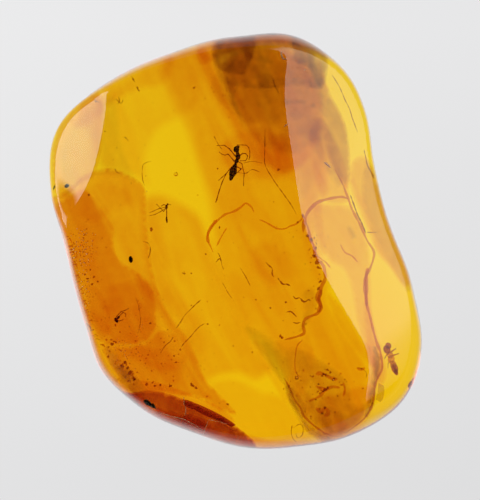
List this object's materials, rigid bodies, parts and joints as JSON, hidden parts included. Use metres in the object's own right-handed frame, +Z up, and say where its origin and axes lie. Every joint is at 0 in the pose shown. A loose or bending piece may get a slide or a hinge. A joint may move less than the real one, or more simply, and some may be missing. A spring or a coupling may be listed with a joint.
{
  "type": "insect in amber",
  "caption": "Polished nugget of clear golden amber with insects sealed inside it, lying on its flat ground face.",
  "frame": {"origin": "middle of the outline, on the flat face that the nugget lies on", "axes": "+Z up out of the resting face, +Y along the nugget's longest side, +X across it to the right as the insects are read from above"},
  "size_m": [0.0409, 0.0457, 0.0177],
  "materials": {
    "amber": "clear fossil resin, ground and polished to a high gloss",
    "dark_shell": "dark brown-black insect shell",
    "brown_shell": "red-brown insect shell, thin and a little see-through",
    "pellet_grit": "dark grit",
    "smoky_resin": "clear fossil resin, smoky brown",
    "red_resin": "clear fossil resin, weathered dark red"
  },
  "bodies": {
    "root": {"amber_lower_half": "amber", "amber_upper_half": "amber", "ant": "dark_shell", "midge": "brown_shell", "barklouse": "brown_shell", "gnat": "brown_shell", "pellet": "pellet_grit", "smoky_run": "smoky_resin", "red_run": "red_resin"}
  },
  "joints": []
}
